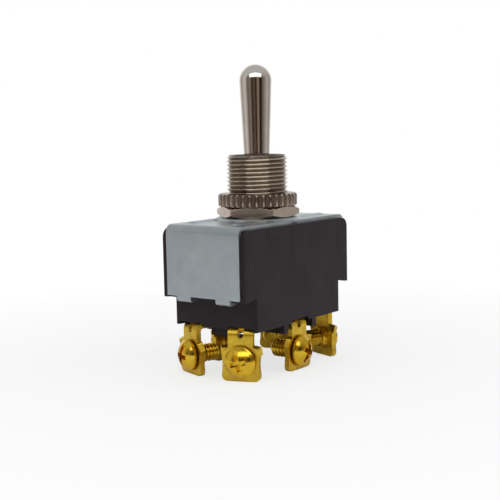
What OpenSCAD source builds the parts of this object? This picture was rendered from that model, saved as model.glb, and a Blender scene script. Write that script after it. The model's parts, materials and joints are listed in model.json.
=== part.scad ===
// Panel toggle switch: two poles, centre off, six screw terminals.
// Origin: on the bushing's axis, at the seat where the bushing meets the frame.
// +Z runs up the lever, X is the long side and the lever's plane of swing.

/* [Housing] */
// Length over the two ears
body_l = 33.9; // [33:0.1:36]
// Width across the long sides
body_w = 19.5; // [19:0.1:22]
// Height of the ears, top face to ledge
ear_h = 13.15; // [12.5:0.05:14]
// Width of the ledge under each ear
ledge_w = 2.7; // [2.2:0.1:3]
// Height of the whole housing
body_h = 18.95; // [18.5:0.05:20]
// Thickness of the outer walls
wall = 2; // [1.7:0.1:2.2]
// Thickness of the floor
floor_t = 2.5; // [2.2:0.1:2.7]
// Rise of each ledge towards the middle
ledge_rise = 0.5; // [0.3:0.1:0.8]
// Radius of the top corners, seen from the side
corner_r = 1.8; // [1:0.1:2.5]
// Radius of the upright edges
edge_r = 0.5; // [0.3:0.1:0.9]
// Thickness of the wall between the poles
divider_t = 1.6; // [1:0.1:2]

/* [Underside] */
// Depth of the rim below the floor
skirt_h = 0.6; // [0.4:0.1:0.9]
// Thickness of the rim
skirt_t = 1.6; // [1.2:0.1:1.8]
// Width of the notch over each terminal
notch_w = 5.6; // [5.2:0.1:6.2]
// Drop of the barrier ribs below the rim
rib_drop = 1.6; // [1:0.1:2]
// Width of the long barrier between the poles
spine_w = 4; // [3:0.1:4.1]
// Distance from each end of the block to the long barrier
spine_inset = 1.4; // [0.8:0.1:2]
// Thickness of the cross barriers
rib_t = 1.4; // [1:0.1:1.8]

/* [Steel frame] */
// Thickness of the sheet
plate_t = 0.7; // [0.6:0.05:0.8]
// Width of the sheet
plate_w = 17.3; // [16.6:0.1:18]
// Height of the end flanges
flange_h = 13.45; // [12.8:0.05:13.5]
// Outer bend radius
bend_r = 1.5; // [1.2:0.1:2]
// Width of the clinch tabs
tab_w = 3.3; // [2.5:0.1:4]
// Distance between the two tabs of a flange
tab_pitch = 9.3; // [8:0.1:11]
// Length of each tab along the ledge
tab_grip = 1.9; // [1.5:0.1:2.2]
// Height of the boss round the bushing
boss_h = 0.45; // [0.3:0.05:0.5]
// Diameter of the boss at its top
boss_d = 16; // [15.6:0.1:16.2]
// Height of the stiffening beads
bead_h = 0.4; // [0.25:0.05:0.42]
// Width of the beads
bead_w = 3.4; // [2.6:0.1:3.6]
// Overall length of the beads
bead_l = 30.6; // [27:0.1:31]
// Distance of the beads from the middle
bead_y = 5.4; // [4.8:0.1:6]

/* [Bushing] */
// Outside diameter of the thread
thread_d = 11.9; // [11.8:0.05:12]
// Pitch of the thread
thread_pitch = 0.79; // [0.7:0.01:1]
// Height above the frame
bushing_h = 12.2; // [12:0.1:14]
// Diameter of the spigot through the frame
spigot_d = 10; // [9.8:0.1:10.4]
// Thickness of the rolled lip under the frame
lip_t = 0.7; // [0.5:0.1:0.8]
// Diameter of the rolled lip
lip_d = 11.4; // [11:0.1:11.8]
// Diameter of the bore at the top
mouth_d = 9; // [8.8:0.1:9.4]
// Chamfer at the top of the thread
thread_chamfer = 0.6; // [0.4:0.1:0.8]

/* [Nuts] */
// Hex nut across flats
hex_af = 14.3; // [14:0.1:14.6]
// Thickness of the hex nut
hex_t = 2.25; // [2:0.05:2.5]
// Turn of the hex nut on the thread
hex_turn = -3; // [-30:1:30]
// Diameter of the knurled nut
knurl_d = 15.5; // [15:0.1:16]
// Thickness of the knurled nut
knurl_t = 2.4; // [2:0.05:2.8]
// Number of flutes on the knurled nut
knurl_n = 36; // [30:1:40]
// Radius of each flute
flute_r = 0.5; // [0.4:0.02:0.52]

/* [Lever] */
// Height of the lever's tip above the frame
lever_h = 29.6; // [28:0.1:32]
// Diameter of the lever's rounded head
tip_d = 6.35; // [5.8:0.05:6.8]
// Diameter of the lever where it leaves the bushing
lever_d = 5.1; // [4.6:0.05:5.2]
// Diameter of the pivot ball
ball_d = 7; // [6.8:0.05:7.1]
// Height of the pivot above the frame
pivot_z = 5.2; // [5:0.1:5.6]
// Diameter of the stub below the ball
stub_d = 3.4; // [3:0.05:3.5]
// Diameter of the pivot pin
pin_d = 1.6; // [1.4:0.05:1.7]
// Length of the pivot pin
pin_l = 8.2; // [8:0.1:8.4]
// Swing of the lever each way
lever_swing = 13; // [12:0.5:13]

/* [Mechanism] */
// Distance of each pole from the middle
pole_y = 4.3; // [4.3:0.05:4.5]
// Distance of the end contacts from the ends of the block
contact_inset = 4.65; // [4.45:0.05:4.85]
// Swing of the rockers each way
rocker_swing = 8; // [7:0.25:8]
// Height of the carrier
carrier_h = 6.4; // [6:0.1:6.6]
// Outside diameter of the carrier's barrels
barrel_d = 5.8; // [5.4:0.1:6]
// Diameter of the plungers
plunger_d = 3.6; // [3.4:0.05:3.7]
// Length of the plungers
plunger_l = 6.75; // [6.5:0.05:7]
// Wire diameter of the springs
wire_d = 0.4; // [0.3:0.05:0.45]
// Number of turns of each spring
spring_turns = 9; // [7:1:10]
// Width of the rocker strips
rocker_w = 3; // [2.6:0.1:3.1]
// Thickness of the rocker strips
rocker_t = 0.7; // [0.6:0.05:0.8]
// Diameter of the contact buttons
button_d = 2.6; // [2.2:0.1:2.8]
// Height of the fixed contacts above the floor
contact_h = 1.1; // [1:0.05:1.2]
// Thickness of the fibre liner under the frame
liner_t = 0.6; // [0.5:0.05:0.7]

/* [Terminals] */
// Thickness of the brass
brass_t = 1; // [0.8:0.05:1.1]
// Width of the neck
neck_w = 4.9; // [4.4:0.1:5]
// Distance from rivet to the outer face
reach = 5.15; // [5:0.05:5.4]
// Depth of the neck below the floor
neck_h = 3.6; // [3.2:0.1:4]
// Width of the screw plate
pad_w = 7.5; // [7:0.1:7.8]
// Height of the screw plate
pad_h = 6.4; // [6.2:0.1:7]
// Outward fan of the corner terminals
fan = 20; // [15:1:22]
// Outer radius of the terminal's bend
term_bend_r = 1.5; // [1.3:0.1:1.7]
// Forward bend of the pad's upper corners
ear_bend = 28; // [10:1:35]
// Outside diameter of the tapped collar
collar_d = 4.4; // [4.2:0.1:4.8]
// Length of the tapped collar
collar_l = 1.2; // [0.8:0.1:1.6]

/* [Terminal screws] */
// Thread diameter
screw_d = 3.5; // [3.3:0.05:3.6]
// Length under the head
screw_l = 6.2; // [5.6:0.1:6.4]
// Head diameter
head_d = 6; // [5.6:0.1:6.4]
// Head height
head_h = 2; // [1.7:0.1:2.2]
// Width of the driver slot
slot_w = 0.9; // [0.7:0.05:1.1]
// Depth of the driver slot
slot_h = 0.9; // [0.6:0.05:1]
// Gap left under the head for a wire
head_gap = 0.3; // [0.2:0.05:0.5]

/* [Rivets] */
// Shank diameter
rivet_d = 2; // [1.8:0.05:2.1]
// Head diameter
rivet_head_d = 3.4; // [3:0.1:3.4]
// Head height
rivet_head_h = 0.7; // [0.5:0.05:0.8]

/* [Clearances] */
// Radial running clearance of the ball, the plungers and the pins
run_fit = 0.05; // [0.03:0.01:0.08]
// Radial clearance of a piece fixed in its hole
fixed_fit = 0.03; // [0.02:0.01:0.05]
// Gap between a plunger's nose and its rocker
nose_gap = 0.1; // [0.05:0.01:0.15]
// Gap left between closed contacts
contact_gap = 0.1; // [0.08:0.01:0.12]

/* [Hidden] */
$fn = 64;
eps = 0.01;
big = 60;

// Levels, from the top down
plate_top = -boss_h;
house_top = plate_top - plate_t;
flange_z = plate_top - flange_h;
ledge_z = house_top - ear_h;
skirt_z = house_top - body_h;
floor_under = skirt_z + skirt_h;
floor_top = floor_under + floor_t;
rib_z = skirt_z - rib_drop;
liner_z = house_top - liner_t;

// Housing
end_x = body_l / 2;
base_l = body_l - 2 * ledge_w;
base_x = base_l / 2;
side_y = body_w / 2;
ledge_slope = atan(ledge_rise / ledge_w);
divider_top = -10.6;
liner_lip = 0.7;
liner_inset = 0.2;
liner_l = body_l - 2 * wall + 2 * liner_lip;
liner_w = plate_w - 2 * liner_inset;

// Frame: a bead is part of a long thin barrel, which is longer than the stretch that shows
bead_r = (bead_h * bead_h + bead_w * bead_w / 4) / (2 * bead_h);
bead_full = bead_l + 2 * (bead_r - bead_w / 2);
boss_flare = 1;

// Thread and nuts: where they engage, both stand at the thread's pitch diameter
thread_fit = 0.05;
pitch_d = thread_d - 0.65 * thread_pitch;
engaged_d = pitch_d - 2 * thread_fit;
nuts_top = hex_t + knurl_t;
flank_a = 30;
groove_h = 0.55 * thread_pitch;
groove_w = thread_pitch / 8;
groove_n = floor((bushing_h - nuts_top) / thread_pitch);
lip_chamfer = 0.3;
hex_chamfer_a = 28;
hex_land = 0.2;
rim_chamfer = 0.35;
foot_chamfer = 0.15;

// Lever and its seat
seat_r = ball_d / 2 + 2 * run_fit;
throat_a = 32;
throat_z = pivot_z + seat_r * sin(throat_a);
throat_r = seat_r * cos(throat_a);
waist_r = 2.3;
pin_end_gap = 0.15;
slot_half = pin_l / 2 + pin_end_gap;

// Carrier
carrier_gap = 0.3;
swing_lift = barrel_d / 2 * sin(lever_swing);
carrier_top = pivot_z - (pivot_z - liner_z + carrier_gap + swing_lift) / cos(lever_swing);
carrier_bottom = carrier_top - carrier_h;
carrier_roof = 1.2;
bore_top = carrier_top - carrier_roof;
stub_grip = 4.2;
stub_end = carrier_top - stub_grip;
web_w = 0.7 * barrel_d;
web_rise = 1.2;
hub_rise = 0.8;
hub_d = barrel_d - 0.3;

// Contacts, with a cross barrier halfway between each two
contact_x = base_x - contact_inset;
rib_x = contact_x / 2;

// Rockers: the dish follows the plunger's nose through the whole swing
nose_r = plunger_d / 2;
button_drop = 0.9;
button_h = button_drop - rocker_t / 2;
contact_top = floor_top + contact_h;
rocker_z = contact_top + contact_gap + contact_x * sin(rocker_swing) + button_drop * cos(rocker_swing);
nose_z = rocker_z + rocker_t / 2 + nose_gap + nose_r;
nose_arm = pivot_z - nose_z;
nose_x = nose_arm * sin(lever_swing);
nose_rise = nose_z - rocker_z + nose_arm * (1 - cos(lever_swing));
path_x = nose_x * cos(rocker_swing) - nose_rise * sin(rocker_swing);
path_z = nose_x * sin(rocker_swing) + nose_rise * cos(rocker_swing) - (nose_z - rocker_z);
path_r = (path_x * path_x + path_z * path_z) / (2 * path_z);
dish_r = path_r + nose_r + nose_gap;
dish_z = nose_z - rocker_z + path_r;
dish_a = 35;
crest_r = 1.2;
crest_a = 50;
foot_r = 0.6;
arm_end = contact_x + button_d / 2 + 0.3;
trunnion_r = 0.5;
trunnion_l = rocker_w / 2 + 0.9;
stem_r = 0.6;
stem_head_r = 0.95;
stem_head_h = 0.25;
button_dome = 4;
contact_rim = 0.8;

// Plungers and springs
plunger_top = nose_z + plunger_l - nose_r;
cup_wall = 0.55;
cup_floor = 0.75;
coil_fit = 0.1;
cup_r = plunger_d / 2 - cup_wall;
cup_z = nose_z + cup_floor;
coil_r = cup_r - coil_fit - wire_d / 2;
coil_sides = 6;
coil_steps = 14;

// Saddles
saddle_t = 0.6;
saddle_in = rocker_w / 2 + 0.2;
saddle_l = 3.2;
saddle_lip = 0.25;
saddle_top = rocker_z + trunnion_r + saddle_lip;

// Terminals and screws
term_bottom = floor_under - neck_h - pad_h;
screw_z = floor_under - neck_h - 0.42 * pad_h;
relief_w = 1.15;
relief_l = term_bend_r + 0.4;
relief_z = floor_under - 1.3;
pad_corner = 1.1;
pad_waist = 0.2;
ear_size = 1.4;
leg_r = 2.1;
leg_start = 0.9;
head_dome = 5.2;
head_rim = 0.7;
cross_l = 0.5 * head_d;
cross_w = slot_w;
cross_h = slot_h + 0.4;
screw_hole_r = screw_d / 2 + run_fit;

// Points along an arc
function arc(c, r, a0, a1, n = 10) =
    [for (i = [0:n]) let (a = a0 + (a1 - a0) * i / n) [c[0] + r * cos(a), c[1] + r * sin(a)]];
function backwards(p) = [for (i = [len(p) - 1:-1:0]) p[i]];
function mirrored(p) = [for (q = backwards(p)) [-q[0], q[1]]];

// Rectangle with rounded corners, centred
function round_rect(l, w, r) = let (x = l / 2 - r, y = w / 2 - r)
    concat(arc([x, y], r, 0, 90, 4), arc([-x, y], r, 90, 180, 4),
           arc([-x, -y], r, 180, 270, 4), arc([x, -y], r, 270, 360, 4));

// Stands an outline in X and Z upright and gives it a width along Y
module upright(w) {
    translate([0, w / 2, 0]) rotate([90, 0, 0]) linear_extrude(w) children();
}

// Moves a child to a pole and a place along it: place -1, 0 or 1
module at_rivet(pole, place) {
    turn = place == 0 ? pole * 90 : place > 0 ? pole * fan : 180 - pole * fan;
    translate([place * contact_x, pole * pole_y, 0]) rotate([0, 0, turn]) children();
}

module all_rivets() {
    for (pole = [-1, 1], place = [-1, 0, 1]) at_rivet(pole, place) children();
}

// Moulded housing: ears, stepped cavity, divider, rim, notches and barriers
function side_outline() = let (x = end_x, r = corner_r)
    concat([[-base_x, ledge_z + ledge_rise], [-x, ledge_z]],
           arc([-x + r, house_top - r], r, 180, 90),
           arc([x - r, house_top - r], r, 90, 0),
           [[x, ledge_z], [base_x, ledge_z + ledge_rise]]);

module housing_block() {
    intersection() {
        translate([0, 0, ledge_z - 1]) linear_extrude(big) polygon(round_rect(body_l, body_w, edge_r));
        upright(body_w + 2) polygon(side_outline());
    }
    translate([0, 0, skirt_z]) linear_extrude(ledge_z + ledge_rise + wall - skirt_z)
        polygon(round_rect(base_l, body_w, edge_r));
}

module housing_cavity() {
    cavity_w = body_w - 2 * wall;
    upper_z = ledge_z + ledge_rise + wall;
    translate([0, 0, upper_z]) linear_extrude(big)
        polygon(round_rect(body_l - 2 * wall, cavity_w, edge_r));
    translate([0, 0, floor_top]) linear_extrude(upper_z - floor_top + eps)
        polygon(round_rect(base_l - 2 * wall, cavity_w, edge_r));
    translate([0, 0, liner_z]) linear_extrude(big)
        polygon(round_rect(liner_l + 2 * fixed_fit, liner_w + 2 * fixed_fit, edge_r));
}

module barriers() {
    h = floor_under - rib_z + eps;
    spine_l = base_l - 2 * spine_inset;
    translate([-spine_l / 2, -spine_w / 2, rib_z]) cube([spine_l, spine_w, h]);
    for (s = [-1, 1])
        translate([s * rib_x - rib_t / 2, -side_y, rib_z]) cube([rib_t, body_w, h]);
}

module housing() {
    color([0.18, 0.16, 0.17]) {
        difference() {
            housing_block();
            housing_cavity();
            translate([0, 0, skirt_z - 1]) linear_extrude(skirt_h + 1)
                polygon(round_rect(base_l - 2 * skirt_t, body_w - 2 * skirt_t, edge_r));
            all_rivets() {
                translate([0, -notch_w / 2, skirt_z - 1]) cube([2 * reach, notch_w, skirt_h + 1]);
                translate([0, 0, skirt_z]) cylinder(h = body_h / 2, d = rivet_d + 2 * fixed_fit);
            }
        }
        barriers();
        translate([0, 0, floor_top - eps]) linear_extrude(divider_top - floor_top)
            square([base_l - 2 * wall + eps, divider_t], center = true);
    }
}

// Folded steel frame: a channel with a boss, two beads and clinched tabs
function channel_half() = let (x = end_x + plate_t, c = [x - bend_r, plate_top - bend_r])
    concat(arc(c, bend_r, 90, 0), [[x, flange_z], [x - plate_t, flange_z]],
           arc(c, bend_r - plate_t, 0, 90));

function tab_outline() = let (c = [end_x, ledge_z - fixed_fit],
                              along = [-cos(ledge_slope), sin(ledge_slope)])
    concat([[end_x, flange_z + 1], [end_x + plate_t, flange_z + 1]],
           arc(c, plate_t, 0, -90 - ledge_slope),
           [c + plate_t * [-along[1], along[0]] + tab_grip * along, c + tab_grip * along, c]);

// Long round-ended form along X, standing proud of the sheet by bead_h
function capsule(r, l) = concat([[0, -l / 2]], arc([0, r - l / 2], r, -80, 0, 12),
                                arc([0, l / 2 - r], r, 0, 80, 12), [[0, l / 2]]);

module bead(r, l) {
    for (s = [-1, 1])
        translate([0, s * bead_y, plate_top + bead_h - bead_r]) rotate([0, 90, 0])
            rotate_extrude() polygon(capsule(r, l));
}

module frame_plate() {
    color([0.66, 0.69, 0.72]) difference() {
        union() {
            upright(plate_w) polygon(concat(channel_half(), mirrored(channel_half())));
            for (s = [-1, 1], t = [-1, 1])
                translate([0, t * tab_pitch / 2, 0]) upright(tab_w)
                    polygon(s > 0 ? tab_outline() : mirrored(tab_outline()));
            translate([0, 0, plate_top - eps])
                cylinder(h = boss_h + eps, d1 = boss_d + boss_flare, d2 = boss_d);
            intersection() {
                bead(bead_r, bead_full);
                translate([-big / 2, -big / 2, plate_top - plate_t / 2]) cube([big, big, 1]);
            }
        }
        translate([0, 0, house_top - eps])
            cylinder(h = boss_h + eps, d1 = boss_d - plate_t, d2 = boss_d - plate_t - boss_flare);
        intersection() {
            bead(bead_r - plate_t, bead_full - 2 * plate_t);
            translate([-big / 2, -big / 2, house_top - 1]) cube([big, big, 1 + bead_h]);
        }
        translate([0, 0, -big / 2]) cylinder(h = big, d = spigot_d + 2 * fixed_fit);
    }
}

// Fibre sheet that lines the frame above the contacts
module fibre_liner() {
    color([0.35, 0.33, 0.3]) translate([0, 0, liner_z]) linear_extrude(liner_t) difference() {
        polygon(round_rect(liner_l, liner_w, edge_r));
        circle(d = lip_d + 2 * lip_chamfer);
    }
}

// Turned bushing, rolled over under the frame, with a seat for the ball
module bushing() {
    lip_z = -plate_t - lip_t;
    color([0.68, 0.64, 0.58]) difference() {
        rotate_extrude() polygon([
            [0, lip_z], [lip_d / 2 - lip_chamfer, lip_z], [lip_d / 2, lip_z + lip_chamfer],
            [lip_d / 2, -plate_t], [spigot_d / 2, -plate_t], [spigot_d / 2, 0],
            [engaged_d / 2, 0], [engaged_d / 2, nuts_top],
            [thread_d / 2, nuts_top], [thread_d / 2, bushing_h - thread_chamfer],
            [thread_d / 2 - thread_chamfer, bushing_h], [0, bushing_h]
        ]);
        rotate_extrude() polygon([
            [0, pivot_z], [throat_r, pivot_z], [throat_r, throat_z],
            [mouth_d / 2, bushing_h], [mouth_d / 2, bushing_h + 1], [0, bushing_h + 1]
        ]);
        translate([0, 0, pivot_z]) sphere(r = seat_r);
        translate([0, 0, lip_z - 1]) cylinder(h = pivot_z - lip_z + 1, r = seat_r);
        pin_slot();
        for (i = [0:groove_n - 1])
            translate([0, 0, nuts_top + (i + 0.5) * thread_pitch]) thread_groove();
    }
}

// One turn of the thread above the nuts, as a ring
module thread_groove() {
    past = 0.1;
    outer_w = groove_w + 2 * (groove_h + past) * tan(flank_a);
    rotate_extrude() polygon([
        [thread_d / 2 - groove_h, -groove_w / 2], [thread_d / 2 + past, -outer_w / 2],
        [thread_d / 2 + past, outer_w / 2], [thread_d / 2 - groove_h, groove_w / 2]
    ]);
}

// Upright slot that lets the pin up to its rounded seat
module pin_slot() {
    w = pin_d + 2 * run_fit;
    translate([-w / 2, -slot_half, -big]) cube([w, 2 * slot_half, big + pivot_z]);
    translate([0, slot_half, pivot_z]) rotate([90, 0, 0]) cylinder(h = 2 * slot_half, d = w);
}

module hex_nut() {
    face_r = hex_af / 2 - hex_land;
    cone_r = face_r + hex_t / 2 / tan(hex_chamfer_a);
    color([0.7, 0.66, 0.6]) difference() {
        intersection() {
            rotate([0, 0, hex_turn]) cylinder(h = hex_t, d = hex_af / cos(30), $fn = 6);
            rotate_extrude() polygon([
                [0, 0], [face_r, 0], [cone_r, hex_t / 2], [face_r, hex_t], [0, hex_t]
            ]);
        }
        translate([0, 0, -1]) cylinder(h = hex_t + 2, d = pitch_d);
    }
}

module knurled_nut() {
    color([0.62, 0.56, 0.5]) translate([0, 0, hex_t]) difference() {
        rotate_extrude() polygon([
            [pitch_d / 2, 0], [knurl_d / 2 - foot_chamfer, 0], [knurl_d / 2, foot_chamfer],
            [knurl_d / 2, knurl_t - rim_chamfer], [knurl_d / 2 - rim_chamfer, knurl_t],
            [pitch_d / 2, knurl_t]
        ]);
        for (i = [0:knurl_n - 1])
            rotate([0, 0, i * 360 / knurl_n]) translate([knurl_d / 2 + run_fit, 0, -1])
                cylinder(h = knurl_t + 2, r = flute_r, $fn = 24);
    }
}

// Bat lever, turned in one piece with its ball and stub
module lever() {
    tip_r = tip_d / 2;
    tip_z = lever_h - tip_r;
    end_chamfer = 0.4;
    color([0.78, 0.76, 0.73]) difference() {
        union() {
            rotate_extrude() polygon([
                [0, tip_z], [tip_r, tip_z], [lever_d / 2, bushing_h],
                [waist_r, throat_z + end_chamfer], [waist_r, pivot_z], [stub_d / 2, pivot_z],
                [stub_d / 2, stub_end + end_chamfer], [stub_d / 2 - end_chamfer, stub_end],
                [0, stub_end]
            ]);
            translate([0, 0, tip_z]) sphere(r = tip_r);
            translate([0, 0, pivot_z]) sphere(d = ball_d);
        }
        translate([0, big / 2, pivot_z]) rotate([90, 0, 0])
            cylinder(h = big, d = pin_d + 2 * fixed_fit);
    }
}

module pivot_pin() {
    color([0.75, 0.75, 0.75]) translate([0, pin_l / 2, pivot_z]) rotate([90, 0, 0])
        cylinder(h = pin_l, d = pin_d);
}

// Moulded carrier on the lever's stub, with a barrel for each plunger
module carrier() {
    color([0.85, 0.8, 0.68]) difference() {
        union() {
            translate([-web_w / 2, -pole_y, carrier_bottom + web_rise])
                cube([web_w, 2 * pole_y, carrier_h - web_rise]);
            for (s = [-1, 1])
                translate([0, s * pole_y, carrier_bottom]) cylinder(h = carrier_h, d = barrel_d);
            translate([0, 0, carrier_bottom + hub_rise])
                cylinder(h = carrier_h - hub_rise, d = hub_d);
        }
        translate([0, 0, stub_end - run_fit])
            cylinder(h = carrier_h, d = stub_d + 2 * fixed_fit);
        for (s = [-1, 1])
            translate([0, s * pole_y, carrier_bottom - 1])
                cylinder(h = bore_top - carrier_bottom + 1, d = plunger_d + 2 * run_fit);
    }
}

// Plunger: a cup for the spring, with a ball nose that rides in the rocker's dish
module plunger(pole) {
    color([0.8, 0.66, 0.3]) translate([0, pole * pole_y, 0]) difference() {
        rotate_extrude() intersection() {
            union() {
                translate([0, nose_z]) circle(r = nose_r);
                translate([0, nose_z]) square([nose_r, plunger_top - nose_z]);
            }
            translate([0, -big]) square([big, 2 * big]);
        }
        translate([0, 0, cup_z]) cylinder(h = big, r = cup_r);
    }
}

// Compression spring: closed end coils, open turns between them
function coil_height(u, z0, z1) = let (
        closed = 1.15 * wire_d, // pitch of the end turns
        open = (z1 - z0 - wire_d - 2 * closed) / (spring_turns - 2))
    z0 + wire_d / 2 + closed * min(u, 1) + open * max(0, min(u - 1, spring_turns - 2))
        + closed * max(0, u - spring_turns + 1);
function coil_ring(i, z0, z1) = let (u = i / coil_steps, a = 360 * u)
    [for (j = [0:coil_sides - 1]) let (b = 360 * j / coil_sides, r = coil_r + wire_d / 2 * cos(b))
        [r * cos(a), r * sin(a), coil_height(u, z0, z1) + wire_d / 2 * sin(b)]];

module spring(pole) {
    rings = coil_steps * spring_turns;
    n = coil_sides;
    points = [for (i = [0:rings]) each coil_ring(i, cup_z + eps, bore_top - eps)];
    skin = [for (i = [0:rings - 1], j = [0:n - 1]) let (a = i * n + j, b = i * n + (j + 1) % n)
        each [[a, a + n, b], [b, a + n, b + n]]];
    color([0.75, 0.76, 0.78]) translate([0, pole * pole_y, 0])
        polyhedron(points, concat(skin, [[for (j = [0:n - 1]) j]],
                                  [[for (j = [n - 1:-1:0]) rings * n + j]]));
}

// Rocker: a formed copper strip, dished in the middle, with its arms brought down to the contacts
function rocker_half(top) = let (
        s = top ? 0 : rocker_t,
        c1 = [0, dish_z],
        u = [-sin(dish_a), cos(dish_a)],
        c2 = c1 - dish_r * u - crest_r * u,
        arm_z = rocker_t / 2,
        run = (c2[1] + crest_r * cos(crest_a) - foot_r * (1 - cos(crest_a)) - arm_z) / sin(crest_a),
        c3 = c2 + (crest_r + foot_r) * [sin(crest_a), cos(crest_a)]
                + run * [cos(crest_a), -sin(crest_a)])
    concat(arc(c1, dish_r + s, -90, -90 + dish_a, 14),
           arc(c2, crest_r - s, 90 + dish_a, 90 - crest_a, 8),
           arc(c3, foot_r + s, 270 - crest_a, 270, 5),
           [[arm_end, arm_z - s]]);
function tail(p) = [for (i = [1:len(p) - 1]) p[i]];

module rocker(pole) {
    half = concat(rocker_half(true), tail(backwards(rocker_half(false))));
    color([0.8, 0.5, 0.32]) translate([0, pole * pole_y, rocker_z]) difference() {
        union() {
            upright(rocker_w) polygon(concat(half, mirrored(tail(half))));
            translate([0, trunnion_l, 0]) rotate([90, 0, 0])
                cylinder(h = 2 * trunnion_l, r = trunnion_r);
        }
        // Rivet holes, with a flat seat over each, and the dish cleared of the trunnion
        for (s = [-1, 1]) translate([s * contact_x, 0, 0]) {
            translate([0, 0, -big / 2]) cylinder(h = big, r = stem_r + fixed_fit);
            translate([0, 0, rocker_t / 2 + eps]) cylinder(h = big, r = stem_head_r + fixed_fit);
        }
        translate([0, big / 2, dish_z]) rotate([90, 0, 0]) cylinder(h = big, r = dish_r, $fn = 180);
    }
}

// Domed button riveted through the rocker's arm
module moving_contact(pole, place) {
    color([0.85, 0.85, 0.86]) translate([place * contact_x, pole * pole_y, rocker_z]) {
        intersection() {
            translate([0, 0, -button_drop]) cylinder(h = button_h, d = button_d);
            translate([0, 0, button_dome - button_drop]) sphere(r = button_dome);
        }
        translate([0, 0, -rocker_t]) cylinder(h = 1.5 * rocker_t, r = stem_r);
        translate([0, 0, rocker_t / 2]) cylinder(h = stem_head_h, r1 = stem_head_r, r2 = stem_head_r - stem_head_h);
    }
}

// Folded saddle with two notched ears, which carries a rocker on its trunnions
module saddle(pole) {
    w = 2 * (saddle_in + saddle_t);
    color([0.76, 0.62, 0.28]) translate([0, pole * pole_y, 0]) difference() {
        translate([-saddle_l / 2, -w / 2, floor_top]) cube([saddle_l, w, saddle_top - floor_top]);
        translate([-big / 2, -saddle_in, floor_top + saddle_t]) cube([big, 2 * saddle_in, big]);
        translate([-trunnion_r - run_fit, -big / 2, rocker_z]) cube([2 * (trunnion_r + run_fit), big, big]);
        translate([0, big / 2, rocker_z]) rotate([90, 0, 0])
            cylinder(h = big, r = trunnion_r + run_fit);
        translate([0, 0, -big]) cylinder(h = big, d = rivet_d + 2 * fixed_fit);
    }
}

// Terminal: leg under the floor, relieved bend, neck, screw plate and tapped collar
function leg_outline() = let (z = floor_under, r = term_bend_r, x = reach - r)
    concat([[0, z]], arc([x, z - r], r, 90, 0),
           [[reach, z - neck_h - 1], [reach - brass_t, z - neck_h - 1]],
           arc([x, z - r], r - brass_t, 0, 90), [[0, z - brass_t]]);

function pad_outline() = let (
        w = pad_w / 2, t = floor_under - neck_h, b = term_bottom, c = pad_corner)
    concat([[w - ear_size, t], [w, t - ear_size]],
           [for (i = [1:5]) let (f = i / 6)
               [w - pad_waist * sin(180 * f), t - ear_size - f * (pad_h - ear_size - c)]],
           arc([w - c, b + c], c, 0, -90, 6));

// Bent corner of the screw plate, leaning forward about the line that cuts the corner
module pad_ear() {
    w = pad_w / 2;
    t = floor_under - neck_h;
    translate([reach, w - ear_size, t]) rotate([-45, 0, 0]) rotate([0, ear_bend, 0])
        rotate([45, 0, 0]) translate([-brass_t, 0, 0]) rotate([90, 0, 90])
            linear_extrude(brass_t)
                polygon([[-0.25, 0], [ear_size - 0.2, 0], [ear_size, -0.2], [ear_size, -ear_size - 0.25],
                         [ear_size - 0.35, -ear_size - 0.25], [-0.25, -0.35]]);
}

module terminal() {
    color([0.78, 0.64, 0.26]) difference() {
        union() {
            translate([0, 0, floor_under - brass_t]) cylinder(h = brass_t, r = leg_r);
            upright(neck_w) intersection() {
                polygon(leg_outline());
                translate([leg_start, -big]) square([big, 2 * big]);
            }
            translate([reach - brass_t, 0, 0]) rotate([90, 0, 90]) linear_extrude(brass_t)
                polygon(concat(pad_outline(), mirrored(pad_outline())));
            pad_ear();
            mirror([0, 1, 0]) pad_ear();
            translate([reach - brass_t / 2, 0, screw_z]) rotate([0, -90, 0])
                cylinder(h = brass_t / 2 + collar_l, d = collar_d);
        }
        translate([reach - big / 2, 0, screw_z]) rotate([0, 90, 0]) cylinder(h = big, r = screw_hole_r);
        translate([0, 0, -big]) cylinder(h = big, d = rivet_d + 2 * fixed_fit);
        translate([reach - relief_l, -relief_w / 2, relief_z]) cube([big, relief_w, big]);
        translate([reach - relief_l, 0, relief_z]) rotate([0, 90, 0]) cylinder(h = big, d = relief_w);
    }
}

// Terminal screw: domed head with a slot and a cross recess
module terminal_screw() {
    color([0.86, 0.7, 0.25]) translate([reach + head_gap, 0, screw_z]) rotate([0, 90, 0]) difference() {
        union() {
            intersection() {
                cylinder(h = head_h, d = head_d);
                translate([0, 0, head_h - head_dome]) sphere(r = head_dome);
            }
            translate([0, 0, -screw_l]) cylinder(h = screw_l + head_rim, d = screw_d);
        }
        translate([-big / 2, -slot_w / 2, head_h - slot_h]) cube([big, slot_w, big]);
        translate([-cross_l / 2, -cross_w / 2, head_h - cross_h]) cube([cross_l, cross_w, big]);
        translate([-cross_w / 2, -cross_l / 2, head_h - cross_h]) cube([cross_w, cross_l, big]);
    }
}

// Rivet through the floor: inner head, shank and the tail closed over the terminal
module rivet(inner_d, inner_z, inner_h) {
    tail_z = floor_under - brass_t;
    translate([0, 0, inner_z]) cylinder(h = inner_h, d = inner_d);
    translate([0, 0, tail_z]) cylinder(h = inner_z - tail_z + eps, d = rivet_d);
    translate([0, 0, tail_z - rivet_head_h])
        cylinder(h = rivet_head_h, d1 = rivet_head_d - contact_rim, d2 = rivet_head_d);
}

module contact_rivet(pole, place) {
    color([0.82, 0.82, 0.83]) at_rivet(pole, place) rivet(button_d + contact_rim, floor_top, contact_h);
}

module centre_rivet(pole) {
    color([0.76, 0.62, 0.28]) at_rivet(pole, 0)
        rivet(2 * saddle_in - contact_rim, floor_top + saddle_t, rivet_head_h);
}

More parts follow.
